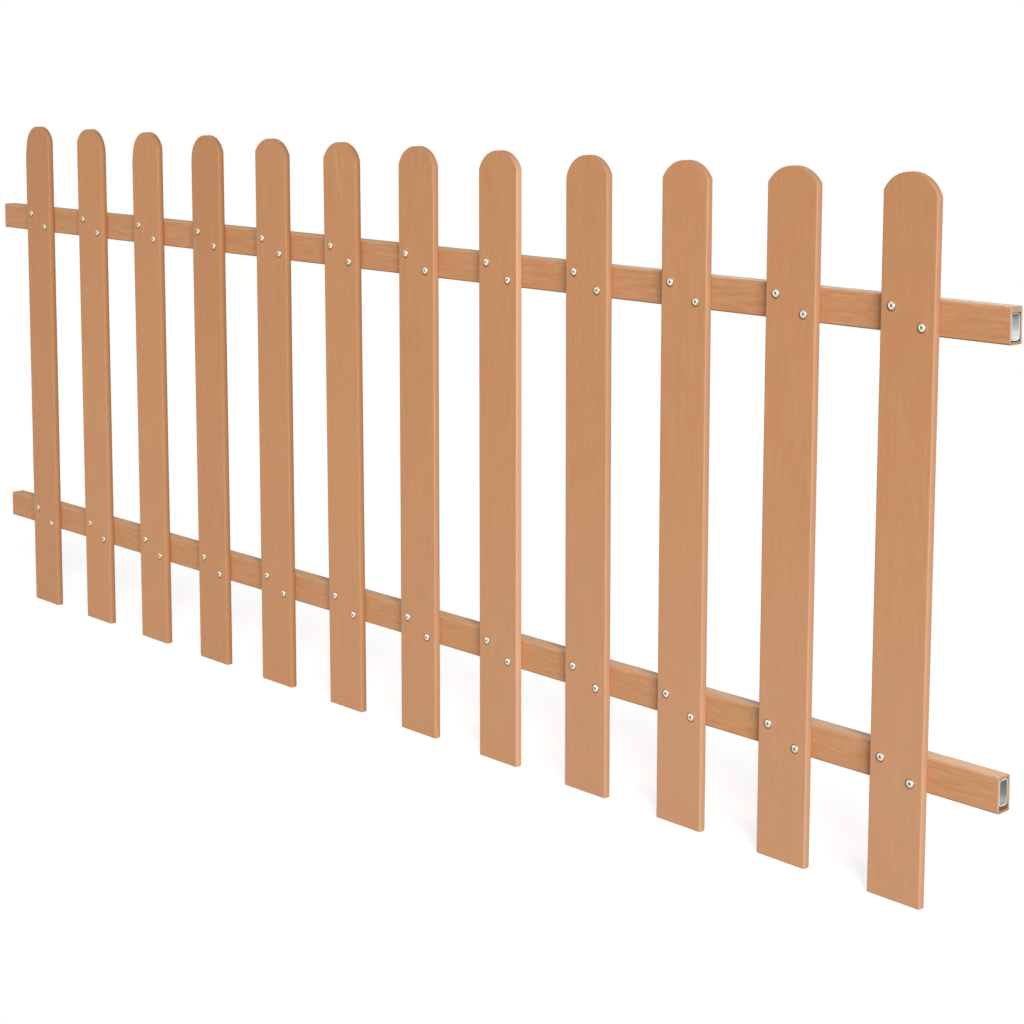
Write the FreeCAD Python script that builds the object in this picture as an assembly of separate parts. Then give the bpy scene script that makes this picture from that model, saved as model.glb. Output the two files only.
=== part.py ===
# Picket fence panel: twelve flat wood composite pickets with round heads, screwed to
# the front of two hollow composite rails. Each rail is a sleeve over a thin steel tube.
#
# Frame: X runs along the panel, Z is up, Y points to the back of the panel.
# The origin lies on the flat back face of the top rail, halfway along it, at mid height.
import FreeCAD, Part
import math
import os

os.makedirs("parts", exist_ok=True)

# Driving dimensions, in millimetres and degrees

# Pickets
PICKET_COUNT = 12
PICKET_PITCH = 159.5
PICKET_WIDTH = 71.0
PICKET_THICKNESS = 10.0
PICKET_HEIGHT = 800.0
PICKET_ARRIS = 1.8

# The heads were sawn and screwed up by hand, so no two pickets are quite alike.
# Radius of each head, from the left: over half the width it leaves a corner at the shoulder.
HEAD_RADII = (33.5, 35.5, 34.0, 34.5, 38.5, 36.5, 36.0, 37.0, 36.0, 39.0, 41.0, 38.0)
# How far each head's centre lies to the right of the middle of its picket.
HEAD_SHIFTS = (2.5, -2.0, 2.2, 1.2, -1.0, -0.3, 0.0, 0.7, 0.9, 0.4, 0.4, -1.1)
# How far each picket leans to the left of upright.
LEANS = (-0.15, 0.05, 0.2, 0.25, 0.15, 0.35, 0.0, 0.0, 0.05, -0.15, -0.3, -0.35)
# The arc turns this far from the top of the head before it runs out into a straight flank.
ARC_HALF_ANGLE = 80.0

# Rails, a hollow composite sleeve each
RAIL_HEIGHT = 40.0
RAIL_DEPTH = 22.0
RAIL_WALL = 3.0
# The top wall of the top rail is about twice as thick as its other walls.
TOP_RAIL_UPPER_WALL = 6.2
RAIL_ARRIS = 2.4
RAIL_BORE_RADIUS = 0.8
RAIL_OVERHANG = 122.75
TOP_RAIL_ABOVE_FOOT = 646.0
BOTTOM_RAIL_ABOVE_FOOT = 148.0

# Steel tube pushed through each rail. Both rails take the same tube, which is fitted to the
# smaller hollow of the top rail. Its round corners leave dark gaps at the open ends.
TUBE_CLEARANCE = 0.3
TUBE_GAP_ABOVE = 0.7
TUBE_GAP_BELOW = 1.1
TUBE_WALL = 1.2
TUBE_INNER_RADIUS = 2.8
TUBE_SETBACK = 0.5

# Two screws at each crossing, on a diagonal: upper left and lower right.
# They cut their own way into the rails, so only the pickets are drilled.
SCREW_SHANK = 4.0
SCREW_ACROSS = 20.0
SCREW_ABOVE = 10.0
HOLE_CLEARANCE = 0.6

# How far a cutting tool runs past the face that it goes through
OVERRUN = 1.0

# Places that follow from the sizes
RAIL_FRONT = -RAIL_DEPTH
PICKET_FRONT = RAIL_FRONT - PICKET_THICKNESS
FOOT = -TOP_RAIL_ABOVE_FOOT
TOP_RAIL_Z = 0.0
BOTTOM_RAIL_Z = FOOT + BOTTOM_RAIL_ABOVE_FOOT
TOP_RAIL_HOLLOW = RAIL_HEIGHT - TOP_RAIL_UPPER_WALL - RAIL_WALL
TUBE_HEIGHT = TOP_RAIL_HOLLOW - TUBE_GAP_ABOVE - TUBE_GAP_BELOW
PICKET_ROW = PICKET_PITCH * (PICKET_COUNT - 1)
RAIL_LENGTH = PICKET_ROW + 2.0 * RAIL_OVERHANG

ALONG = FreeCAD.Vector(1.0, 0.0, 0.0)
BACK = FreeCAD.Vector(0.0, 1.0, 0.0)
UP = FreeCAD.Vector(0.0, 0.0, 1.0)


def picket_x(number):
    """Middle of a picket, counted from 1 at the left end."""
    return PICKET_PITCH * (number - 1) - PICKET_ROW / 2.0


def of_picket(values, number):
    """A picket's own value. A longer panel repeats the list."""
    return values[(number - 1) % len(values)]


def rounded_box(corner, size, axis, radius):
    """Box from its lowest corner, with the edges along one axis rounded."""
    box = Part.makeBox(size.x, size.y, size.z, corner)
    long_edges = []
    for edge in box.Edges:
        direction = edge.tangentAt(edge.FirstParameter)
        if abs(direction.dot(axis)) > 0.99:
            long_edges.append(edge)
    return box.makeFillet(radius, long_edges)


def sawn_outline(number):
    """What the saw leaves of an upright picket: an arc over the head and a flank on each side."""
    radius = of_picket(HEAD_RADII, number)
    shift = of_picket(HEAD_SHIFTS, number)
    angle = math.radians(ARC_HALF_ANGLE)
    reach = PICKET_WIDTH / 2.0 + OVERRUN
    top_z = FOOT + PICKET_HEIGHT
    arc_end_z = top_z - radius * (1.0 - math.cos(angle))

    def at(x, z):
        return FreeCAD.Vector(picket_x(number) + x, PICKET_FRONT - OVERRUN, z)

    sides = []
    for side in (-1.0, 1.0):
        end_x = shift + side * radius * math.sin(angle)
        # A small arc ends inside the board, and its flank runs out to the edge.
        out = max(0.0, reach - side * end_x)
        edge_x = end_x + side * out
        points = [at(end_x, arc_end_z)]
        if out > 0.0:
            points.append(at(edge_x, arc_end_z - out * math.tan(angle)))
        points.append(at(edge_x, FOOT - OVERRUN))
        sides.append(points)
    left, right = sides
    arc = Part.Arc(left[0], at(shift, top_z), right[0]).toShape()
    rest = Part.makePolygon(right + left[::-1])
    return Part.Face(Part.Wire([arc] + rest.Edges))


def picket_holes(number):
    """Tools for the four screw holes of an upright picket."""
    radius = (SCREW_SHANK + HOLE_CLEARANCE) / 2.0
    tools = []
    for rail_z in (TOP_RAIL_Z, BOTTOM_RAIL_Z):
        for side in (-1.0, 1.0):
            x = picket_x(number) + side * SCREW_ACROSS
            z = rail_z - side * SCREW_ABOVE
            start = FreeCAD.Vector(x, PICKET_FRONT - OVERRUN, z)
            tools.append(Part.makeCylinder(radius, PICKET_THICKNESS + 2.0 * OVERRUN, start, BACK))
    return Part.makeCompound(tools)


def picket(number):
    """Flat board with rounded long edges, a sawn round head and four screw holes."""
    x = picket_x(number)
    corner = FreeCAD.Vector(x - PICKET_WIDTH / 2.0, PICKET_FRONT, FOOT)
    size = FreeCAD.Vector(PICKET_WIDTH, PICKET_THICKNESS, PICKET_HEIGHT)
    board = rounded_box(corner, size, UP, PICKET_ARRIS)
    kept = sawn_outline(number).extrude(BACK * (PICKET_THICKNESS + 2.0 * OVERRUN))
    board = board.common(kept).cut(picket_holes(number))
    middle = FreeCAD.Vector(x, PICKET_FRONT, FOOT + PICKET_HEIGHT / 2.0)
    board.rotate(middle, BACK, -of_picket(LEANS, number))
    return board


def rail_bar(inset, lowest_z, highest_z, radius, length):
    """Bar along the panel, drawn in by inset from the rail's front and back."""
    corner = FreeCAD.Vector(-length / 2.0, RAIL_FRONT + inset, lowest_z)
    size = FreeCAD.Vector(length, RAIL_DEPTH - 2.0 * inset, highest_z - lowest_z)
    return rounded_box(corner, size, ALONG, radius)


def rail_sleeve(z, upper_wall):
    """Hollow composite rail, open at both ends."""
    half = RAIL_HEIGHT / 2.0
    outside = rail_bar(0.0, z - half, z + half, RAIL_ARRIS, RAIL_LENGTH)
    floor_z = z - half + RAIL_WALL
    ceiling_z = z + half - upper_wall
    length = RAIL_LENGTH + 2.0 * OVERRUN
    return outside.cut(rail_bar(RAIL_WALL, floor_z, ceiling_z, RAIL_BORE_RADIUS, length))


def steel_tube(z, upper_wall):
    """Thin tube with rounded corners that stiffens the rail, open at both ends."""
    inset = RAIL_WALL + TUBE_CLEARANCE
    length = RAIL_LENGTH - 2.0 * TUBE_SETBACK
    radius = TUBE_INNER_RADIUS
    top_z = z + RAIL_HEIGHT / 2.0 - upper_wall - TUBE_GAP_ABOVE
    low_z = top_z - TUBE_HEIGHT
    outside = rail_bar(inset, low_z, top_z, radius + TUBE_WALL, length)
    low_z = low_z + TUBE_WALL
    top_z = top_z - TUBE_WALL
    inside = rail_bar(inset + TUBE_WALL, low_z, top_z, radius, length + 2.0 * OVERRUN)
    return outside.cut(inside)


nodes = {}
for number in range(1, PICKET_COUNT + 1):
    nodes["picket_%02d" % number] = picket(number)
nodes["top_rail"] = rail_sleeve(TOP_RAIL_Z, TOP_RAIL_UPPER_WALL)
nodes["bottom_rail"] = rail_sleeve(BOTTOM_RAIL_Z, RAIL_WALL)
nodes["top_rail_steel"] = steel_tube(TOP_RAIL_Z, TOP_RAIL_UPPER_WALL)
nodes["bottom_rail_steel"] = steel_tube(BOTTOM_RAIL_Z, RAIL_WALL)

total = 0.0
for name, shape in nodes.items():
    shape.exportStep("parts/" + name + ".step")
    total = total + shape.Volume
    volume = round(shape.Volume / 1000.0, 2)
    print(name, "solids", len(shape.Solids), "valid", shape.isValid(), "cm3", volume)
print("length", RAIL_LENGTH, "height", PICKET_HEIGHT, "volume cm3", round(total / 1000.0, 1))
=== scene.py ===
# %% [markdown]
# # A picket fence panel in wood composite
# The real panel is twelve flat boards screwed to two hollow rails. The boards and rails are
# pressed from wood flour and plastic and then brushed, and each rail hides a steel tube.
# The solids arrive ready made as a fixed frame, so this lesson gives them their surfaces,
# adds the screws, and sets up the light and the camera.
# One unit is one metre. X runs along the panel, Y points to its back and Z is up.

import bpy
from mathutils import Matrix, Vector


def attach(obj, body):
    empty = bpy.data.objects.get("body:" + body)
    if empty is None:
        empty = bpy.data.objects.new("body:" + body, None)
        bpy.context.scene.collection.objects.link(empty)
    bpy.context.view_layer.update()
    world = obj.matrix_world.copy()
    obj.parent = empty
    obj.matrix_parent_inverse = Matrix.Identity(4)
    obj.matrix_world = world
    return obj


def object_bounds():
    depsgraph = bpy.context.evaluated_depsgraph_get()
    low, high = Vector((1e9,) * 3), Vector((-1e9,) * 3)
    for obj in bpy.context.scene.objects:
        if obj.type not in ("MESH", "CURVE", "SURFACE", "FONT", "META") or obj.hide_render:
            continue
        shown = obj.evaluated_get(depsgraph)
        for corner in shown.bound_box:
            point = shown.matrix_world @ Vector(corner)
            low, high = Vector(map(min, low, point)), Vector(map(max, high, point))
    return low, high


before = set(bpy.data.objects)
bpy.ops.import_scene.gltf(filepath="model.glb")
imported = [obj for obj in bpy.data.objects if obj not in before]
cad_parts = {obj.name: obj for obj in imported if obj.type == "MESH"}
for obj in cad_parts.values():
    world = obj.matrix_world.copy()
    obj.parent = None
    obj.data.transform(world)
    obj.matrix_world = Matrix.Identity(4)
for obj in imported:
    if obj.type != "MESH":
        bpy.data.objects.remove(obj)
cad_box = [list(corner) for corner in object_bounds()]
print("nodes:", len(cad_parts), "box:", cad_box)

# %% Tools of this lesson
import math

import bmesh
import bpy
from mathutils import Matrix, Vector

MM = 0.001
scene = bpy.context.scene
scene.view_settings.view_transform = "Standard"

# %% [markdown]
# ## Where things are on the panel
# The screws and some marks in the finishes follow the boards, so the few sizes that place
# them are named once. Every board was screwed up by hand and leans a little its own way.

# %% Sizes that place the screws and the marks
PICKET_COUNT = 12
PICKET_PITCH = 159.5 * MM
PICKET_FRONT = -32.0 * MM
PICKET_MIDDLE_Z = -246.0 * MM
PICKET_HALF_WIDTH = 35.5 * MM
FOOT_Z = cad_box[0][2]
RAIL_HEIGHTS = (0.0, -498.0 * MM)
RAIL_FRONT = -22.0 * MM
SCREW_ACROSS = 20.0 * MM
SCREW_ABOVE = 10.0 * MM
LEANS = (-0.15, 0.05, 0.2, 0.25, 0.15, 0.35, 0.0, 0.0, 0.05, -0.15, -0.3, -0.35)


def picket_x(number):
    """Middle of a board, counted from 1 at the left end."""
    return PICKET_PITCH * (number - (PICKET_COUNT + 1) / 2)


print("boards from", round(picket_x(1), 4), "to", round(picket_x(PICKET_COUNT), 4))

# %% [markdown]
# ## Writing materials as sums
# A material is a net of small nodes, and most of them only add or multiply. Wired by hand
# they fill pages. A small class that stands for a node's output can carry Python's own
# operators instead, so that `1 - streak * 0.3` adds two Math nodes and reads as what it is.


# %% Outputs that can be added and multiplied
class Output:
    """An output of a shader node, with Python's operators as Math nodes."""

    def __init__(self, finish, socket):
        self.finish = finish
        self.socket = socket

    def _math(self, operation, first, second=None):
        values = {"Value": first}
        if second is not None:
            values["Value_001"] = second
        return self.finish.node("ShaderNodeMath", {"operation": operation}, values)

    def __add__(self, other):
        return self._math("ADD", self, other)

    def __sub__(self, other):
        return self._math("SUBTRACT", self, other)

    def __mul__(self, other):
        return self._math("MULTIPLY", self, other)

    def __truediv__(self, other):
        return self._math("DIVIDE", self, other)

    def __pow__(self, other):
        return self._math("POWER", self, other)

    def __radd__(self, other):
        return self._math("ADD", other, self)

    def __rsub__(self, other):
        return self._math("SUBTRACT", other, self)

    def __rmul__(self, other):
        return self._math("MULTIPLY", other, self)

    def __abs__(self):
        return self._math("ABSOLUTE", self)

    def rounded(self):
        return self._math("ROUND", self)

    def above(self, other):
        return self._math("GREATER_THAN", self, other)

    def largest(self, other):
        return self._math("MAXIMUM", self, other)

    def smallest(self, other):
        return self._math("MINIMUM", self, other)

    def rise(self, start, end):
        """0 up to start, 1 from end, and a smooth step between them. It falls if end is less."""
        return self.finish.node(
            "ShaderNodeMapRange",
            {"interpolation_type": "SMOOTHSTEP"},
            {"Value": self, "From Min": start, "From Max": end},
            "Result",
        )


# %% [markdown]
# The other nodes come from one method. It takes the node's type, its settings, and what goes
# into its sockets, and gives back the output that is asked for. Settings go first, because
# some of them change which sockets a node has.


# %% A material and its nodes
def plain_colour(red, green, blue):
    """A colour as a paint program gives it, 0 to 255, turned into the light it stands for."""
    parts = []
    for value in (red, green, blue):
        share = value / 255
        parts.append(share / 12.92 if share <= 0.04045 else ((share + 0.055) / 1.055) ** 2.4)
    return (*parts, 1.0)


def ramp_stops(made, count):
    """The stops of a colour ramp, as many as are asked for."""
    stops = made.color_ramp.elements
    stops[0].position = 0.0
    while len(stops) < count:
        stops.new(1.0)
    return list(stops)


def socket_named(sockets, name):
    """The socket with that identifier, or else the first shown one with that name."""
    for socket in sockets:
        if socket.identifier == name:
            return socket
    return next(socket for socket in sockets if socket.name == name and socket.enabled)


class Finish:
    """A material or world under construction, whose nodes are added by expressions."""

    def __init__(self, owner):
        self.owner = owner
        owner.use_nodes = True
        self.tree = owner.node_tree
        self.tree.nodes.clear()

    def node(self, kind, settings=None, values=None, out=None):
        """A new node. A setting called steps gives a colour ramp its stops."""
        made = self.tree.nodes.new(kind)
        for name, value in (settings or {}).items():
            if name == "steps":
                made.color_ramp.interpolation = "CONSTANT"
                for stop, (place, colour) in zip(ramp_stops(made, len(value)), value):
                    stop.position = place
                    stop.color = colour
            else:
                setattr(made, name, value)
        for name, value in (values or {}).items():
            socket = socket_named(made.inputs, name)
            if isinstance(value, Output):
                self.tree.links.new(value.socket, socket)
            else:
                socket.default_value = value
        if isinstance(out, tuple):
            return [Output(self, socket_named(made.outputs, name)) for name in out]
        if out is None:
            return Output(self, made.outputs[0]) if made.outputs else made
        return Output(self, socket_named(made.outputs, out))

    def mix(self, share, first, second):
        """first where share is 0 and second where it is 1, for colours."""
        values = {"Factor_Float": share, "A_Color": first, "B_Color": second}
        return self.node("ShaderNodeMix", {"data_type": "RGBA"}, values, "Result_Color")

    def place(self, out="Object"):
        return self.node("ShaderNodeTexCoord", out=out)

    def parts(self, vector):
        return self.node("ShaderNodeSeparateXYZ", None, {"Vector": vector}, ("X", "Y", "Z"))

    def facing(self):
        """The three parts of the direction in which the surface looks."""
        return self.parts(self.place("Normal"))

    def stretched(self, vector, scale, shift=(0.0, 0.0, 0.0)):
        """The vector times a scale for each axis, so that a pattern is drawn out along one."""
        settings = {"vector_type": "POINT"}
        values = {"Vector": vector, "Scale": scale, "Location": shift}
        return self.node("ShaderNodeMapping", settings, values)

    def noise(self, vector, detail=2.0, roughness=0.5, scale=1.0):
        values = {"Vector": vector, "Scale": scale, "Detail": detail, "Roughness": roughness}
        return self.node("ShaderNodeTexNoise", {"noise_dimensions": "3D"}, values, "Fac")

    def bump(self, height, strength, distance):
        values = {"Height": height, "Strength": strength, "Distance": distance}
        return self.node("ShaderNodeBump", None, values, "Normal")

    def surface(self, shader):
        kind = "World" if isinstance(self.owner, bpy.types.World) else "Material"
        self.node("ShaderNodeOutput" + kind, None, {"Surface": shader})
        return self.owner


# %% [markdown]
# Several marks sit at the same height on both rails, or in the same place on every board.
# These helpers tell a finish which rail or board a point belongs to, so that one expression
# serves them all.


# %% Which rail and which board
BETWEEN_RAILS = sum(RAIL_HEIGHTS) / 2


def on_top_rail(z):
    """1 for what lies nearer to the top rail, 0 for what lies nearer to the bottom one."""
    return z.above(BETWEEN_RAILS)


def above_rail(z):
    """Height above the middle of the nearer rail."""
    top, bottom = RAIL_HEIGHTS
    return z - bottom - on_top_rail(z) * (top - bottom)


def board_number(x):
    """Number of the board at a place along the panel, from 1 at the left end."""
    return (x / PICKET_PITCH + (PICKET_COUNT + 1) / 2).rounded()


def on_board_front(y):
    """1 on the front of the boards, and 0 from a millimetre below it."""
    return y.rise(PICKET_FRONT + 1.0 * MM, PICKET_FRONT + 0.2 * MM)


# %% [markdown]
# ## The composite of boards and rails
# Wood composite comes out of its die smooth and a little glossy, and a wire brush then takes
# the skin off along the length. That leaves fine scratches of slightly different tones,
# short pale fibres, and a matt surface. An image could show this, but it would repeat and
# have seams. Noise that is drawn out many times along the board gives streaks of any width
# without either, and three widths together look like brushing. The boards run upward and
# the rails sideways, so one recipe takes the direction of the length.

# %% Colours of the composite, as they look in even light
BOARD_TAN = plain_colour(199, 143, 100)
BOARD_WARM = plain_colour(201, 138, 96)
BOARD_GREY = plain_colour(193, 147, 99)
STREAK_DARK = plain_colour(173, 118, 78)
STREAK_PALE = plain_colour(217, 166, 125)
TONE_PALE = plain_colour(214, 157, 111)
SIDE_LIGHT = plain_colour(232, 184, 150)
SIDE_PALE = plain_colour(194, 160, 136)
DUST = plain_colour(206, 166, 136)
SCRATCHED = plain_colour(219, 172, 134)
SHADOW_RING_COLOUR = plain_colour(98, 74, 55)
SAWN = plain_colour(204, 151, 109)
SAWN_DARK = plain_colour(176, 124, 86)
ARRIS_PALE = plain_colour(233, 193, 156)
ARRIS_DARK = plain_colour(150, 104, 66)


# %% Streaks, fibres and tones of brushed composite
def brushed_composite(name, along, streak, tone_of):
    """along is the axis of the length, and streak says how strong the brushing shows."""
    finish = Finish(bpy.data.materials.new(name))
    place = finish.place()

    def drawn_out(across, length, shift=0.0):
        scale = [length if axis == along else across for axis in "XYZ"]
        return finish.stretched(place, scale, (shift, shift, shift))

    # Streaks per metre across and along: finger wide, match wide and hair fine
    wide = finish.noise(drawn_out(60.0, 12.0), detail=3.0)
    middle = finish.noise(drawn_out(300.0, 24.0, 3.0), detail=3.0, roughness=0.6)
    fine = finish.noise(drawn_out(900.0, 70.0, 7.0), detail=2.0, roughness=0.6)
    cloud = finish.noise(drawn_out(36.0, 18.0, 5.0), detail=3.0)
    fibres = finish.noise(drawn_out(1300.0, 180.0, 11.0), detail=1.0).rise(0.66, 0.74)

    # Whole boards differ a little in tone, as they come from different pressings, and the boards'
    # tone also carries painted floor light, paler towards their feet
    tone = tone_of(finish, place)
    warm = (wide * 0.5 + cloud * 0.5).rise(0.38, 0.62)
    colour = finish.mix(warm * 0.6, BOARD_TAN, BOARD_WARM)
    colour = finish.mix(cloud.rise(0.46, 0.66) * 0.5, colour, BOARD_GREY)
    colour = finish.mix(middle.rise(0.5, 0.3) * 0.42 * streak, colour, STREAK_DARK)
    colour = finish.mix(middle.rise(0.52, 0.7) * 0.42 * streak, colour, STREAK_PALE)
    colour = finish.mix(fine.rise(0.5, 0.34) * 0.3 * streak, colour, STREAK_DARK)
    colour = finish.mix(fibres * 0.35 * streak, colour, STREAK_PALE)
    colour = finish.mix(tone.rise(0.5, 1.0) * 0.3, colour, TONE_PALE)
    colour = finish.mix(tone.rise(0.5, 0.0) * 0.28, colour, STREAK_DARK)

    # The arris is neither front nor side: its normal leans between two axes
    directions = finish.facing()
    up = directions[2]
    nx, ny, nz = (abs(part) for part in directions)
    arris = nx.largest(ny).largest(nz).rise(0.995, 0.93)
    arris_patches = finish.noise(drawn_out(120.0, 14.0, 17.0), detail=2.0).rise(0.35, 0.65)
    if along == "X":
        # Along a rail the upper arris is painted pale as a highlight, varied in patches, and the
        # lower one is painted dark as shade
        colour = finish.mix(arris * up.rise(0.2, 0.6) * (arris_patches * 0.2 + 0.08), colour, ARRIS_PALE)
        colour = finish.mix(arris * up.rise(-0.1, -0.4) * 0.6, colour, ARRIS_DARK)
    else:
        colour = finish.mix(arris * (arris_patches * 0.2 + 0.1), colour, STREAK_DARK)

    # Sawn ends show chopped fibres and the marks of the blade in place of streaks
    if along == "Z":
        sawn = nz.above(0.05) * ny.rise(0.7, 0.3)
    else:
        sawn = nx.above(0.5)
    grit = finish.noise(place, detail=3.0, roughness=0.7, scale=1500.0)
    blade = finish.noise(finish.stretched(place, (90.0, 1100.0, 90.0)), detail=1.0)
    ends = finish.mix(grit.rise(0.56, 0.4) * 0.6, SAWN, SAWN_DARK)
    ends = finish.mix(grit.rise(0.55, 0.7) * 0.5, ends, STREAK_PALE)
    colour = finish.mix(sawn, colour, ends)

    grooves = middle * 0.5 + fine * 0.5
    height = grooves * (1 - sawn) + (grit * 0.6 + blade * 0.4) * sawn
    return finish, colour, height, fine, sawn


def composite_surface(finish, colour, height, fine, sawn):
    """Closes a composite material: matt, a little glossier between the brush marks."""
    roughness = 0.62 - fine * 0.14 + sawn * 0.16
    shader = finish.node(
        "ShaderNodeBsdfPrincipled",
        None,
        {
            "Base Color": colour,
            "Roughness": roughness,
            "IOR": 1.46,
            "Specular IOR Level": 0.2,
            "Normal": finish.bump(height, 0.45, 0.25 * MM),
        },
    )
    return finish.surface(shader)


# %% [markdown]
# ## The boards
# No two boards have quite the same tone, and the sixth one has two pale scratches below its head
# and a third, fainter one beside them. A board's number follows from its place along the panel,
# and a white noise of that number gives each board its own tone. Each scratch is a thin curve on
# the front: the sideways distance from it is a sum, and a smooth step turns that into a line. A
# ring of painted shadow lies round each screw head, deepest at its lower left, so the ring has to
# follow the screws, which lean with their board.


# %% Tone of each board
def board_tone(finish, place):
    """Dark at 0, plain at a half and pale at 1."""
    x, _, z = finish.parts(place)
    settings = {"noise_dimensions": "1D"}
    own = finish.node("ShaderNodeTexWhiteNoise", settings, {"W": board_number(x)}, "Value")
    # Painted light: the boards are paler towards their feet, as if the floor lit them from below
    floor_bounce_light = z.rise(0.2, -0.35) * 0.4
    return own * 0.5 + floor_bounce_light + 0.04


# %% Scratches on the sixth board
SCRATCHED_BOARD = 6
SCRATCHES = (
    # top, bottom, x at the top, slope, bend, half width and strength, in millimetres
    (147.0, 75.0, -9.8, 0.1, 3.05e-7, 1.1, 0.9),
    (135.0, 117.0, 4.7, 0.16, 0.0, 1.3, 1.0),
    (143.0, 131.0, -11.7, 0.062, 0.0, 0.5, 0.4),
)


def scratch_mask(finish, place):
    """Up to 1 on the scratches of the sixth board's front, 0 elsewhere."""
    x, y, z = finish.parts(place)
    mask = None
    for top, bottom, left, slope, bend, half, strength in SCRATCHES:
        down = top - z / MM
        curve = left + down * slope + down**4.0 * bend
        line = (x - picket_x(SCRATCHED_BOARD)) / MM - curve
        length = down.rise(-1.0, 4.0) * down.rise(top - bottom + 1.0, top - bottom - 4.0)
        one = abs(line).rise(half + 0.6, half * 0.3) * length * strength
        mask = one if mask is None else mask.largest(one)
    return mask * on_board_front(y)


# %% Painted shadow round the screws
SHADOW_RING_LEFT = 1.3 * MM
SHADOW_RING_DOWN = 1.0 * MM
SHADOW_RING_RADIUS = 5.1 * MM
SHADOW_RING_BLUR = 1.4 * MM
# A colour can't be negative, so the leans travel through the ramp with this added
LEAN_OFFSET = 0.5


def board_lean(finish, number):
    """Lean of a board in radians, looked up by its number in a ramp with one step a board."""
    steps = []
    for index, lean in enumerate(LEANS):
        steps.append((index / PICKET_COUNT, (lean + LEAN_OFFSET,) * 3 + (1.0,)))
    share = (number - 0.5) / PICKET_COUNT
    degrees = finish.node("ShaderNodeValToRGB", {"steps": steps}, {"Fac": share}, "Color")
    return (degrees - LEAN_OFFSET) * (math.pi / 180.0)


def screw_shadow_ring(finish, place):
    """1 on the ring of painted shadow below and beside each screw head, deepest at its lower left.
    """
    x, y, z = finish.parts(place)
    number = board_number(x)
    upright_x = (number - (PICKET_COUNT + 1) / 2) * PICKET_PITCH
    middle_x = upright_x - (z - PICKET_MIDDLE_Z) * board_lean(finish, number)
    across = x - middle_x + SHADOW_RING_LEFT
    above = above_rail(z) + SHADOW_RING_DOWN
    rings = []
    for side in (-1.0, 1.0):
        sideways = across - side * SCREW_ACROSS
        upward = above + side * SCREW_ABOVE
        rings.append((sideways * sideways + upward * upward) ** 0.5)
    near = rings[0].smallest(rings[1])
    return near.rise(SHADOW_RING_RADIUS + SHADOW_RING_BLUR, SHADOW_RING_RADIUS) * on_board_front(y)


# %% [markdown]
# The narrow right sides of the boards differ along the panel. At the right-hand boards they are
# painted pale as light from the right, and towards the left they are painted darker as shade, most
# of all near their rear edge. The sawn heads are darker, most where they face up and less towards
# the right end, and dust has paled the feet.

# %% The board material
BOARD_BRUSHING = 0.4

finish, colour, height, fine, sawn = brushed_composite(
    "brushed_board", "Z", BOARD_BRUSHING, board_tone
)
x, y, z = finish.parts(finish.place())
right, _, up = finish.facing()
side = right.above(0.5)

# The sides, by their place along the panel and from front to back: painted light on the right-hand
# boards' sides, painted shade towards the left and the rear edge
side_light = x.rise(0.12, 0.22) * (1 - x.rise(0.26, 0.44))
left_end = x.rise(0.15, -0.1)
rear_edge = y.rise(PICKET_FRONT + 1.5 * MM, PICKET_FRONT + 9.0 * MM)
shaded = rear_edge * (left_end * 0.3 + 0.32) + left_end * 0.3 + 0.06
colour = finish.mix(side * x.rise(0.0, 0.2) * 0.35, colour, SIDE_PALE)
colour = finish.mix(side * shaded, colour, ARRIS_DARK)
colour = finish.mix(side * side_light * 0.42, colour, SIDE_LIGHT)

# The sawn heads darker, dust at the feet, rings of painted shadow at the screws, and the scratches
darker_saw = sawn * (up.rise(0.2, 0.9) * 0.35 + 0.12) * (1 - x.rise(0.3, 0.8) * 0.5)
dusty = z.rise(-0.1, -0.6) * (x.rise(-0.2, 0.6) * 0.2 + 0.1)
scratch = scratch_mask(finish, finish.place())
colour = finish.mix(darker_saw, colour, ARRIS_DARK)
colour = finish.mix(dusty, colour, DUST)
colour = finish.mix(screw_shadow_ring(finish, finish.place()) * 0.7, colour, SHADOW_RING_COLOUR)
colour = finish.mix(scratch * 0.6, colour, SCRATCHED)
BOARD = composite_surface(finish, colour, height - scratch * 0.5, fine, sawn)
print("board material:", len(BOARD.node_tree.nodes), "nodes")

# %% [markdown]
# ## The rails
# The rails are brushed too, but lengthwise, and the marks are coarser and plainer to see.
# The recipe is the same with another direction and more strength. Their upper faces are painted
# paler as light past the last board at the right, where no board shades them, and darker as shade
# between the boards, with a painted shadow beside each board. At the open ends each wall has a
# tint of its own, and the hollow behind is painted dark as shade, so that the gap between sleeve
# and tube reads as a gap.


# %% Colours of the rails' tops, ends and insides
CUT_TAN = plain_colour(172, 142, 114)
CUT_PALE = plain_colour(200, 166, 142)
CUT_GREY = plain_colour(178, 162, 148)
CUT_DARK = plain_colour(142, 104, 78)
TOP_OLIVE = plain_colour(160, 132, 98)
TOP_BEIGE = plain_colour(194, 172, 142)
TOP_PEACH = plain_colour(206, 168, 130)
TOP_TAN = plain_colour(184, 146, 104)
LOWER_PEACH = plain_colour(222, 178, 134)
TOP_BROWN = plain_colour(120, 76, 40)
HOLLOW_SHADE = plain_colour(96, 62, 42)


def rail_tone(finish, place):
    """Dark at 0, plain at a half and pale at 1, in patches a few hands long."""
    return finish.noise(finish.stretched(place, (2.5, 8.0, 8.0)), detail=1.0) * 0.6 + 0.14


# %% The rail material
RAIL_BRUSHING = 0.9
# How far the painted shadow of a board reaches to its left at the rear of a rail, and how softly
# it ends
BOARD_SHADOW_REACH = 65.0 * MM
BOARD_SHADOW_FADE = (20.0 * MM, -30.0 * MM)
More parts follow.
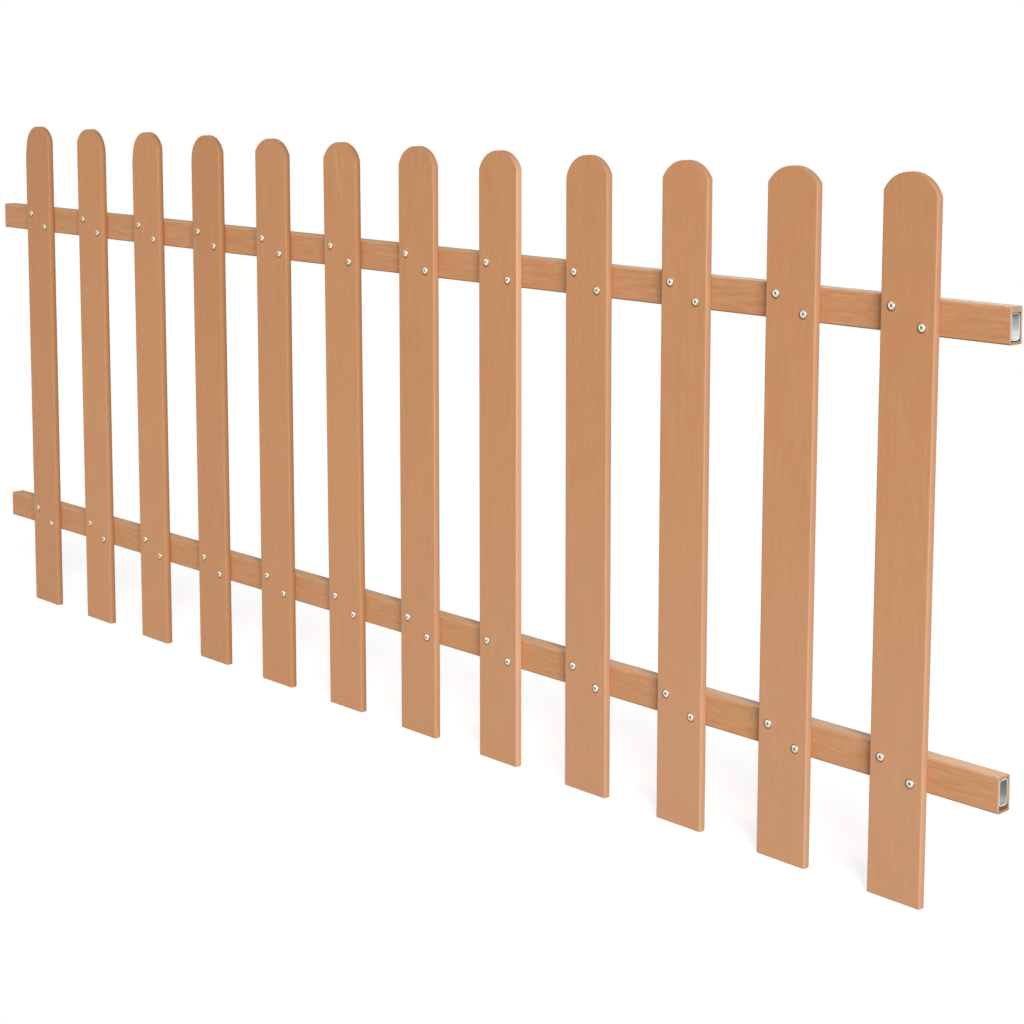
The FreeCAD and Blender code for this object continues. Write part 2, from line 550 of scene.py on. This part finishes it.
# The walls are 3 mm thick or more, so that what lies further in is the hollow's own surface
HOLLOW_HALF_DEPTH = 8.1 * MM
HOLLOW_HALF_HEIGHT = 17.2 * MM
HOLLOW_BLUR = 0.3 * MM

finish, colour, height, fine, sawn = brushed_composite(
    "brushed_rail", "X", RAIL_BRUSHING, rail_tone
)
x, y, z = finish.parts(finish.place())
upward = finish.facing()[2].rise(0.8, 0.95)
top_rail = on_top_rail(z)
level = above_rail(z)

# The bottom rail and the left end are a little more bleached all over
bleached = ((1 - top_rail) * 0.1).largest(x.rise(-0.1, -0.6) * 0.06)
colour = finish.mix(bleached, colour, LOWER_PEACH)

# The upper faces: painted shade between the boards, olive on the top rail's rear half, and painted
# light past the last board, where no board shades them
past_boards = x.rise(0.86, 0.93)
rear_half = y.rise(-15.0 * MM, -6.0 * MM) * top_rail
open_tint = finish.mix(top_rail, LOWER_PEACH, TOP_PEACH)
front_tint = finish.mix(past_boards, TOP_TAN, open_tint)
rear_tint = finish.mix(past_boards, TOP_OLIVE, TOP_BEIGE)
colour = finish.mix(upward * (1 - rear_half) * 0.6, colour, front_tint)
colour = finish.mix(upward * rear_half * 0.7, colour, rear_tint)

# A painted shadow of each board lies on the upper faces, in a wedge that widens to the rear.
# The quarter of a pitch makes each gap between two boards belong to the board at its right.
board_x = (board_number(x + PICKET_PITCH / 4) - (PICKET_COUNT + 1) / 2) * PICKET_PITCH
from_board = board_x - PICKET_HALF_WIDTH - x
board_shadow = (from_board - y.rise(RAIL_FRONT, 0.0) * BOARD_SHADOW_REACH).rise(*BOARD_SHADOW_FADE)
board_shadow = board_shadow * from_board.rise(-40.0 * MM, -10.0 * MM) * (1 - past_boards)
# Painted shadow beside each board, and the top rail's upper faces a little darker all over
colour = finish.mix(upward * (board_shadow * 0.6 + top_rail * 0.2), colour, TOP_BROWN)

# The sawn ends: a pale front wall, a grey rear wall and a dark bottom wall
cut = finish.mix(y.rise(-18.0 * MM, -20.5 * MM), CUT_TAN, CUT_PALE)
cut = finish.mix(y.rise(-4.5 * MM, -2.5 * MM), cut, CUT_GREY)
cut = finish.mix(level.rise(-14.0 * MM, -17.5 * MM) * 0.6, cut, CUT_DARK)
colour = finish.mix(sawn * 0.8, colour, cut)

# The inside of the hollow, painted dark as shade
inward = abs(y - RAIL_FRONT / 2).rise(HOLLOW_HALF_DEPTH + HOLLOW_BLUR, HOLLOW_HALF_DEPTH)
inside = inward * abs(level).rise(HOLLOW_HALF_HEIGHT + HOLLOW_BLUR, HOLLOW_HALF_HEIGHT)
colour = finish.mix(inside * (1 - sawn) * (top_rail * 0.25 + 0.6), colour, HOLLOW_SHADE)
RAIL = composite_surface(finish, colour, height, fine, sawn)
print("rail material:", len(RAIL.node_tree.nodes), "nodes")

# %% [markdown]
# ## The steel tubes
# Each rail is stiffened by a thin galvanised tube that shows only at the open ends. Zinc
# freezes in patches, each a slightly different grey, and the saw leaves the cut edge bright.
# A Voronoi pattern has such patches, and the direction that a face looks in tells the cut.
# Towards its floor the tube is painted pale as light, and under its ceiling it is painted dull as
# shade, as is the top of the top tube's cut edge. The bottom rail's tube is duller than the other.

# %% Galvanised steel
finish = Finish(bpy.data.materials.new("galvanised_steel"))
place = finish.place()
spread = finish.noise(place, detail=2.0, scale=60.0)
patch = finish.node(
    "ShaderNodeTexVoronoi",
    {"voronoi_dimensions": "3D", "feature": "F1"},
    {"Vector": place, "Scale": 170.0, "Randomness": 1.0},
    "Color",
)
patch_tone, patch_gloss, _ = finish.parts(patch)
ZINC_DARK = plain_colour(180, 186, 184)
ZINC_PALE = plain_colour(216, 222, 224)
TUBE_FLOOR_LIGHT = plain_colour(240, 246, 250)
SHADED = plain_colour(122, 118, 104)
CUT_BRIGHT = plain_colour(222, 217, 206)

z = finish.parts(place)[2]
top_rail = on_top_rail(z)
level = above_rail(z)
cut = abs(finish.facing()[0]).above(0.5)
# Painted shade under the tube's ceiling and on the top of the top tube's cut edge, and painted
# light towards its floor
ceiling = level.rise(-3.0 * MM, 12.0 * MM) * 0.6
floor_light = level.rise(-1.0 * MM, -9.0 * MM) * (top_rail * 0.5 + 0.35)
shaded_cut = cut * top_rail * level.rise(7.0 * MM, 10.0 * MM) * 0.6
colour = finish.mix(patch_tone * 0.4 + spread * 0.6, ZINC_DARK, ZINC_PALE)
colour = finish.mix((1 - top_rail) * 0.6, colour, SHADED)
colour = finish.mix(ceiling, colour, SHADED)
colour = finish.mix(floor_light, colour, TUBE_FLOOR_LIGHT)
colour = finish.mix(cut, colour, CUT_BRIGHT)
colour = finish.mix(shaded_cut, colour, SHADED)
saw = finish.noise(finish.stretched(place, (200.0, 2500.0, 300.0)), detail=1.0)
shader = finish.node(
    "ShaderNodeBsdfPrincipled",
    None,
    {
        "Base Color": colour,
        "Metallic": 0.2,
        "Roughness": 0.42 + patch_gloss * 0.2,
        "Normal": finish.bump(patch_tone * 0.5 + spread * 0.5 + saw * cut, 0.25, 0.1 * MM),
    },
)
STEEL = finish.surface(shader)
print("steel material:", len(STEEL.node_tree.nodes), "nodes")

# %% [markdown]
# ## Dressing the solids
# The shapes of the solids are right as they are, so nothing is added to them: their slots
# get the new materials, by the slot names that the record gives them.

# %% Give the frame's solids their materials
materials_by_slot = {"picket_composite": BOARD, "rail_composite": RAIL, "rail_steel": STEEL}
node_slots = {}
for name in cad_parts:
    if name.startswith("picket"):
        node_slots[name] = "picket_composite"
    elif name.endswith("steel"):
        node_slots[name] = "rail_steel"
    else:
        node_slots[name] = "rail_composite"
for name, slot_name in node_slots.items():
    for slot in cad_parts[name].material_slots:
        slot.material = materials_by_slot[slot_name]
print("dressed nodes:", len(node_slots))

# %% [markdown]
# ## One screw
# Two pan head screws hold each board to each rail. They are zinc plated, about 9 mm wide,
# with a small cross recess. A turned part like this is a profile that is spun round its
# axis, and the recess is a tapered cross that is taken away from the head.
# The screw cuts its own thread, so below the head there is a shank with sharp rings and a
# point that reaches into the hollow of the steel tube.

# %% Profile of the screw, from the top of the head to the point
HEAD_RADIUS = 4.5 * MM
HEAD_HEIGHT = 2.5 * MM
SHANK_RADIUS = 1.75 * MM
THREAD_RADIUS = 2.1 * MM
THREAD_STEP = 1.6 * MM
THREAD_START = 9.0 * MM
SCREW_LENGTH = 21.0 * MM
POINT_LENGTH = 4.0 * MM
RIM_SHARE = 0.42
DOME_BULGE = 0.75
DOME_STEPS = 8
TURNS = 40


def dome_depth(radius):
    """How deep the dome lies at a radius: shallow in the middle and quickly rounded at the rim."""
    flat = math.sqrt(max(0.0, 1.0 - (radius / HEAD_RADIUS) ** 2))
    return -HEAD_HEIGHT * (RIM_SHARE + (1.0 - RIM_SHARE) * flat**DOME_BULGE)


def screw_profile():
    """Pairs of radius and depth. Depth 0 is the board's face, and the head is above it."""
    points = [(0.0, -HEAD_HEIGHT)]
    for step in range(1, DOME_STEPS + 1):
        radius = HEAD_RADIUS * math.sin(math.radians(90.0 * step / DOME_STEPS))
        points.append((radius, dome_depth(radius)))
    points.append((HEAD_RADIUS, -0.1 * MM))
    points.append((HEAD_RADIUS - 0.2 * MM, 0.0))
    points.append((SHANK_RADIUS, 0.0))
    depth = THREAD_START
    while depth < SCREW_LENGTH - POINT_LENGTH:
        points.append((SHANK_RADIUS, depth))
        points.append((THREAD_RADIUS, depth + 0.3 * THREAD_STEP))
        points.append((SHANK_RADIUS, depth + 0.6 * THREAD_STEP))
        depth += THREAD_STEP
    points.append((SHANK_RADIUS, SCREW_LENGTH - POINT_LENGTH))
    points.append((0.0, SCREW_LENGTH))
    return points


def spun(name, profile, turns):
    """A closed mesh of a profile spun round the Y axis, with one vertex at each pole."""
    shape = bmesh.new()
    rings = []
    for radius, depth in profile:
        if radius == 0.0:
            rings.append([shape.verts.new((0.0, depth, 0.0))])
            continue
        ring = []
        for turn in range(turns):
            angle = 2.0 * math.pi * turn / turns
            point = (radius * math.cos(angle), depth, radius * math.sin(angle))
            ring.append(shape.verts.new(point))
        rings.append(ring)
    for upper, lower in zip(rings, rings[1:]):
        for turn in range(turns):
            after = (turn + 1) % turns
            corners = [upper[turn % len(upper)], lower[turn % len(lower)]]
            corners += [lower[after % len(lower)], upper[after % len(upper)]]
            shape.faces.new(list(dict.fromkeys(corners)))
    bmesh.ops.recalc_face_normals(shape, faces=shape.faces)
    mesh = bpy.data.meshes.new(name)
    shape.to_mesh(mesh)
    shape.free()
    return mesh


# %% The cross that is taken out of the head
RECESS_SPAN = 2.2 * MM
RECESS_WING = 0.75 * MM
RECESS_DEPTH = 1.6 * MM
CUTTER_ABOVE = 1.0 * MM
# Size of the cross at the cutter's wide end and at its narrow end
RECESS_TAPER = (1.25, 0.45)
RECESS_SHADE_DEPTH = 0.12 * MM


def recess_cutter(name):
    """A cross with four wings that narrows from above the head down into it."""
    shape = bmesh.new()
    rings = []
    depths = (-HEAD_HEIGHT - CUTTER_ABOVE, -HEAD_HEIGHT + RECESS_DEPTH)
    for depth, share in zip(depths, RECESS_TAPER):
        span = RECESS_SPAN * share
        wing = RECESS_WING * (0.4 + 0.6 * share)
        outline = []
        for quarter in range(4):
            turn = Matrix.Rotation(math.radians(90.0 * quarter), 3, "Y")
            for x, z in ((wing, wing), (span, wing), (span, -wing)):
                outline.append(shape.verts.new(turn @ Vector((x, depth, z))))
        rings.append(outline)
    upper, lower = rings
    for corner in range(12):
        after = (corner + 1) % 12
        shape.faces.new((upper[corner], upper[after], lower[after], lower[corner]))
    shape.faces.new(upper)
    shape.faces.new(lower[::-1])
    bmesh.ops.recalc_face_normals(shape, faces=shape.faces)
    mesh = bpy.data.meshes.new(name)
    shape.to_mesh(mesh)
    shape.free()
    return mesh


def shown(name, mesh):
    """A mesh as an object of the scene."""
    thing = bpy.data.objects.new(name, mesh)
    scene.collection.objects.link(thing)
    return thing


def settled_mesh(thing):
    """The mesh that an object has once its modifiers have run."""
    graph = bpy.context.evaluated_depsgraph_get()
    return bpy.data.meshes.new_from_object(thing.evaluated_get(graph))


blank = shown("screw_blank", spun("screw_blank", screw_profile(), TURNS))
cutter = shown("recess_cutter", recess_cutter("recess_cutter"))
cut = blank.modifiers.new("recess", "BOOLEAN")
cut.operation = "DIFFERENCE"
cut.solver = "EXACT"
cut.object = cutter
screw_mesh = settled_mesh(blank)
for thing in (blank, cutter):
    bpy.data.objects.remove(thing)

# Painted shade in the recess: the faces that lie below the dome are marked for the material
grime = screw_mesh.attributes.new("grime", "FLOAT", "FACE")
for face in screw_mesh.polygons:
    middle = face.center
    radius = math.hypot(middle.x, middle.z)
    in_head = radius < RECESS_SPAN * 1.2 and middle.y < 0.0
    below_dome = middle.y > dome_depth(radius) + RECESS_SHADE_DEPTH
    grime.data[face.index].value = 1.0 if in_head and below_dome else 0.0
screw_mesh.shade_smooth()
screw_mesh.set_sharp_from_angle(angle=math.radians(38.0))
print("one screw:", len(screw_mesh.polygons), "faces")

# %% [markdown]
# ## The screws' metal
# Zinc plating is bright and a little cloudy, with a warm tinge that grows towards the left end of
# the panel. The recess is painted dark as shade, and the attribute that was put on the mesh says
# where that is.

# %% Zinc plate
finish = Finish(bpy.data.materials.new("screw_zinc"))
place = finish.place()
duller = finish.parts(place)[0].rise(0.3, -0.7) * 0.6
recess_dark = finish.node("ShaderNodeAttribute", {"attribute_name": "grime"}, None, "Fac")
cloud = finish.noise(place, detail=3.0, scale=420.0)
scuffs = finish.noise(finish.stretched(place, (2600.0, 2600.0, 500.0)), detail=1.0)
PLATE = plain_colour(232, 230, 218)
PLATE_DULL = plain_colour(192, 188, 172)
PLATE_WARM = plain_colour(206, 190, 156)
RECESS_SHADE_COLOUR = plain_colour(116, 116, 104)
colour = finish.mix(cloud.rise(0.35, 0.7) * 0.7, PLATE, PLATE_DULL)
colour = finish.mix(duller, colour, PLATE_WARM)
colour = finish.mix(recess_dark, colour, RECESS_SHADE_COLOUR)
shader = finish.node(
    "ShaderNodeBsdfPrincipled",
    None,
    {
        "Base Color": colour,
        "Metallic": 1 - recess_dark * 0.8,
        "Roughness": 0.18 + cloud * 0.14 + recess_dark * 0.4,
        "Normal": finish.bump(scuffs * 0.5 + cloud * 0.5, 0.15, 0.08 * MM),
    },
)
ZINC = finish.surface(shader)
print("screw material:", len(ZINC.node_tree.nodes), "nodes")

# %% [markdown]
# ## Screws at every crossing
# There are 48 screws on one rule: at each crossing of a board and a rail, one sits upper
# left and one lower right, and the pair leans with its board. Geometry Nodes suit such a
# rule. The tree takes a mesh with one vertex for each crossing, puts a pair of points on
# each, and a screw on each point, turned at random as a driver leaves it.

# %% One vertex for each crossing, which carries its board's lean
crossing_mesh = bpy.data.meshes.new("crossings")
places = []
leans = []
for number in range(1, PICKET_COUNT + 1):
    lean = math.radians(LEANS[number - 1])
    for rail_z in RAIL_HEIGHTS:
        rise = rail_z - PICKET_MIDDLE_Z
        x = picket_x(number) - rise * math.sin(lean)
        places.append((x, PICKET_FRONT, PICKET_MIDDLE_Z + rise * math.cos(lean)))
        leans.append(lean)
crossing_mesh.from_pydata(places, [], [])
lean_values = crossing_mesh.attributes.new("lean", "FLOAT", "POINT")
lean_values.data.foreach_set("value", leans)
crossings = shown("screws", crossing_mesh)
print("crossings:", len(places))

# %% The tree that sets the screws
tree = bpy.data.node_groups.new("set_screws", "GeometryNodeTree")
identifiers = {}
for name, kind, direction in (
    ("Geometry", "NodeSocketGeometry", "INPUT"),
    ("Screw", "NodeSocketObject", "INPUT"),
    ("Metal", "NodeSocketMaterial", "INPUT"),
    ("Across", "NodeSocketFloat", "INPUT"),
    ("Above", "NodeSocketFloat", "INPUT"),
    ("Tilt", "NodeSocketFloat", "INPUT"),
    ("Seed", "NodeSocketInt", "INPUT"),
    ("Geometry", "NodeSocketGeometry", "OUTPUT"),
):
    made = tree.interface.new_socket(name, in_out=direction, socket_type=kind)
    if direction == "INPUT":
        identifiers[name] = made.identifier


def step(kind, settings=None, values=None):
    """A node of the tree. A value that is a pair is another node and its output's name."""
    made = tree.nodes.new(kind)
    for name, value in (settings or {}).items():
        setattr(made, name, value)
    for name, value in (values or {}).items():
        socket = socket_named(made.inputs, name)
        if isinstance(value, tuple) and isinstance(value[0], bpy.types.Node):
            tree.links.new(socket_named(value[0].outputs, value[1]), socket)
        else:
            socket.default_value = value
    return made


given = step("NodeGroupInput")
negative = {}
for name in ("Across", "Above", "Tilt"):
    values = {"Value": (given, name), "Value_001": -1.0}
    negative[name] = (step("ShaderNodeMath", {"operation": "MULTIPLY"}, values), "Value")
upper_left = step("ShaderNodeCombineXYZ", None, {"X": negative["Across"], "Z": (given, "Above")})
lower_right = step("ShaderNodeCombineXYZ", None, {"X": (given, "Across"), "Z": negative["Above"]})
pair = step(
    "GeometryNodeMeshLine",
    {"mode": "END_POINTS", "count_mode": "TOTAL"},
    {"Count": 2, "Start Location": (upper_left, "Vector"), "Offset": (lower_right, "Vector")},
)
lean = step("GeometryNodeInputNamedAttribute", {"data_type": "FLOAT"}, {"Name": "lean"})
back = step(
    "ShaderNodeMath",
    {"operation": "MULTIPLY"},
    {"Value": (lean, "Attribute"), "Value_001": -1.0},
)
leaning = step("ShaderNodeCombineXYZ", None, {"Y": (back, "Value")})
leaning = step("FunctionNodeEulerToRotation", None, {"Euler": (leaning, "Vector")})
pairs = step(
    "GeometryNodeInstanceOnPoints",
    None,
    {"Points": (given, "Geometry"), "Instance": (pair, "Mesh"), "Rotation": (leaning, "Rotation")},
)
pairs = step("GeometryNodeRealizeInstances", None, {"Geometry": (pairs, "Instances")})
most = step(
    "ShaderNodeCombineXYZ",
    None,
    {"X": (given, "Tilt"), "Y": math.pi, "Z": (given, "Tilt")},
)
least = step(
    "ShaderNodeCombineXYZ",
    None,
    {"X": negative["Tilt"], "Y": -math.pi, "Z": negative["Tilt"]},
)
turned = step(
    "FunctionNodeRandomValue",
    {"data_type": "FLOAT_VECTOR"},
    {"Min": (least, "Vector"), "Max": (most, "Vector"), "Seed": (given, "Seed")},
)
turned = step("FunctionNodeEulerToRotation", None, {"Euler": (turned, "Value")})
template = step(
    "GeometryNodeObjectInfo",
    {"transform_space": "ORIGINAL"},
    {"Object": (given, "Screw")},
)
screws = step(
    "GeometryNodeInstanceOnPoints",
    None,
    {
        "Points": (pairs, "Geometry"),
        "Instance": (template, "Geometry"),
        "Rotation": (turned, "Rotation"),
    },
)
screws = step("GeometryNodeRealizeInstances", None, {"Geometry": (screws, "Instances")})
screws = step(
    "GeometryNodeSetMaterial",
    None,
    {"Geometry": (screws, "Geometry"), "Material": (given, "Metal")},
)
step("NodeGroupOutput", None, {"Geometry": (screws, "Geometry")})
print("tree:", len(tree.nodes), "nodes")

# %% [markdown]
# A modifier's inputs are set by the identifiers of the tree's sockets. The result is kept as
# a plain mesh, so that the panel carries no live modifier.

# %% Run the tree once and keep its mesh
SCREW_TILT = math.radians(1.5)
SCREW_SEED = 7
template_screw = shown("template_screw", screw_mesh)
setter = crossings.modifiers.new("screws", "NODES")
setter.node_group = tree
for name, value in (
    ("Screw", template_screw),
    ("Metal", ZINC),
    ("Across", SCREW_ACROSS),
    ("Above", SCREW_ABOVE),
    ("Tilt", SCREW_TILT),
    ("Seed", SCREW_SEED),
):
    setter[identifiers[name]] = value
all_screws = settled_mesh(crossings)
crossings.modifiers.clear()
crossings.data = all_screws
bpy.data.objects.remove(template_screw)
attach(crossings, "root")
print("screws:", len(all_screws.polygons), "faces", list(all_screws.materials))

# %% [markdown]
# ## Floor and surroundings
# The panel stands on its feet on a pale floor in a white room without corners. The light
# that the surroundings shed is kept lower than the white that the camera sees, so that the
# background is white and the composite keeps its colour. Near the panel the floor is a real
# matt surface that takes a faint shadow. What the camera sees of it is lifted towards white,
# and further out it fades into the background.

# %% Surroundings
AMBIENT = 0.18


def background_rays(finish):
    """1 for what the camera sees, straight, mirrored or through glass, and 0 for the light."""
    names = ("Is Camera Ray", "Is Glossy Ray", "Is Transmission Ray")
    camera, glossy, through = finish.node("ShaderNodeLightPath", None, None, names)
    return camera.largest(glossy).largest(through)


world = bpy.data.worlds.new("white_room")
scene.world = world
finish = Finish(world)
strength = background_rays(finish) * (1.0 - AMBIENT) + AMBIENT
background = {"Color": (1.0, 1.0, 1.0, 1.0), "Strength": strength}
finish.surface(finish.node("ShaderNodeBackground", None, background))
print("light from the surroundings:", AMBIENT)

# %% Floor
FLOOR_RADIUS = 14.0
FLOOR_LIFT = 0.66
FLOOR_CLEAR = 0.5 * MM
FLOOR_PALE = (0.55, 0.55, 0.55, 1.0)
FLOOR_SPECK = (0.52, 0.52, 0.52, 1.0)
FADE_START = 0.12
FADE_END = 0.8

shape = bmesh.new()
bmesh.ops.create_circle(shape, cap_ends=True, segments=96, radius=FLOOR_RADIUS)
for vertex in shape.verts:
    vertex.co.z = FOOT_Z - FLOOR_CLEAR
floor_mesh = bpy.data.meshes.new("floor")
shape.to_mesh(floor_mesh)
shape.free()
floor = shown("floor", floor_mesh)
finish = Finish(bpy.data.materials.new("pale_floor"))
x, y, _ = finish.parts(finish.place())
past_end = (abs(x) - 1.0).largest(0.0)
away = (past_end * past_end + y * y) ** 0.5
speckle = finish.noise(finish.place(), detail=2.0, scale=40.0)
paint = finish.mix(speckle, FLOOR_PALE, FLOOR_SPECK)
matt = finish.node("ShaderNodeBsdfDiffuse", None, {"Color": paint})
seen = background_rays(finish)
lift = finish.node("ShaderNodeEmission", None, {"Strength": seen * FLOOR_LIFT})
lifted = finish.node("ShaderNodeAddShader", None, {"Shader": matt, "Shader_001": lift})
white = finish.node("ShaderNodeEmission", None, {"Strength": 1.0})
shaders = {"Fac": seen * away.rise(FADE_START, FADE_END), "Shader": lifted, "Shader_001": white}
floor_mesh.materials.append(finish.surface(finish.node("ShaderNodeMixShader", None, shaders)))
print("floor:", round(FOOT_Z, 4), "is the height of the feet")

# %% [markdown]
# ## Soft studio light
# The photographed rails are dark just left of each board, so the strongest light comes from
# the right, nearly 60 degrees round and 20 degrees up. Its lamp is large and stands 13 m
# away: near by it would light the right-hand boards more than the left, and make the floor
# glow. A tall narrow lamp at the right end lights the boards' sides. Two weak ones in front
# soften the shadows, one above reaches the tops of the rails, and one behind keeps the back
# readable. Area lamps make such soft light.


# %% Lamps
def softbox(name, place, aim, width, height, power):
    """A rectangular area lamp that looks from a place at a point."""
    lamp = bpy.data.lights.new(name, "AREA")
    lamp.shape = "RECTANGLE"
    lamp.size = width
    lamp.size_y = height
    lamp.energy = power
    holder = bpy.data.objects.new(name, lamp)
    scene.collection.objects.link(holder)
    holder.location = place
    direction = Vector(aim) - Vector(place)
    holder.rotation_euler = direction.to_track_quat("-Z", "Y").to_euler()
    holder.visible_camera = False
    return holder


PANEL_MIDDLE = (0.0, 0.0, -0.25)
softbox("key_right", (10.6, -6.7, 4.8), (0.3, 0.0, -0.25), 6.0, 3.0, 1890.0)
softbox("side_right", (2.3, -0.35, -0.3), (0.5, -0.03, -0.25), 0.3, 1.2, 1.4)
softbox("front", (1.5, -5.0, -0.3), PANEL_MIDDLE, 2.2, 2.0, 20.0)
softbox("front_left", (-1.0, -1.4, -0.3), (-0.9, 0.0, -0.25), 0.8, 1.0, 2.4)
softbox("above", (0.3, -0.2, 2.4), PANEL_MIDDLE, 3.0, 1.6, 12.0)
softbox("behind", (-1.2, 3.2, 0.8), PANEL_MIDDLE, 2.4, 2.4, 58.0)

# %% [markdown]
# ## Camera
# The photograph was taken with a long lens from the right of the panel, held level, with the frame
# shifted down. Here the camera looks down a little instead and needs only half that shift. The
# picture is nearly the same, within a few pixels.

# %% Camera
LENS = 75.27
FRAME_SHIFT = -0.22
CAMERA_PLACE = (2.233, -1.885, 0.285)
LOOKS_DOWN = 6.4
LOOKS_LEFT = 46.7

camera_data = bpy.data.cameras.new("camera")
camera_data.lens = LENS
camera_data.sensor_width = 36.0
camera_data.shift_y = FRAME_SHIFT
camera_data.clip_start = 0.05
camera_data.clip_end = 100.0
camera = bpy.data.objects.new("camera", camera_data)
scene.collection.objects.link(camera)
camera.location = CAMERA_PLACE
camera.rotation_euler = (math.radians(90.0 - LOOKS_DOWN), 0.0, math.radians(LOOKS_LEFT))
scene.camera = camera
print("camera at", CAMERA_PLACE)
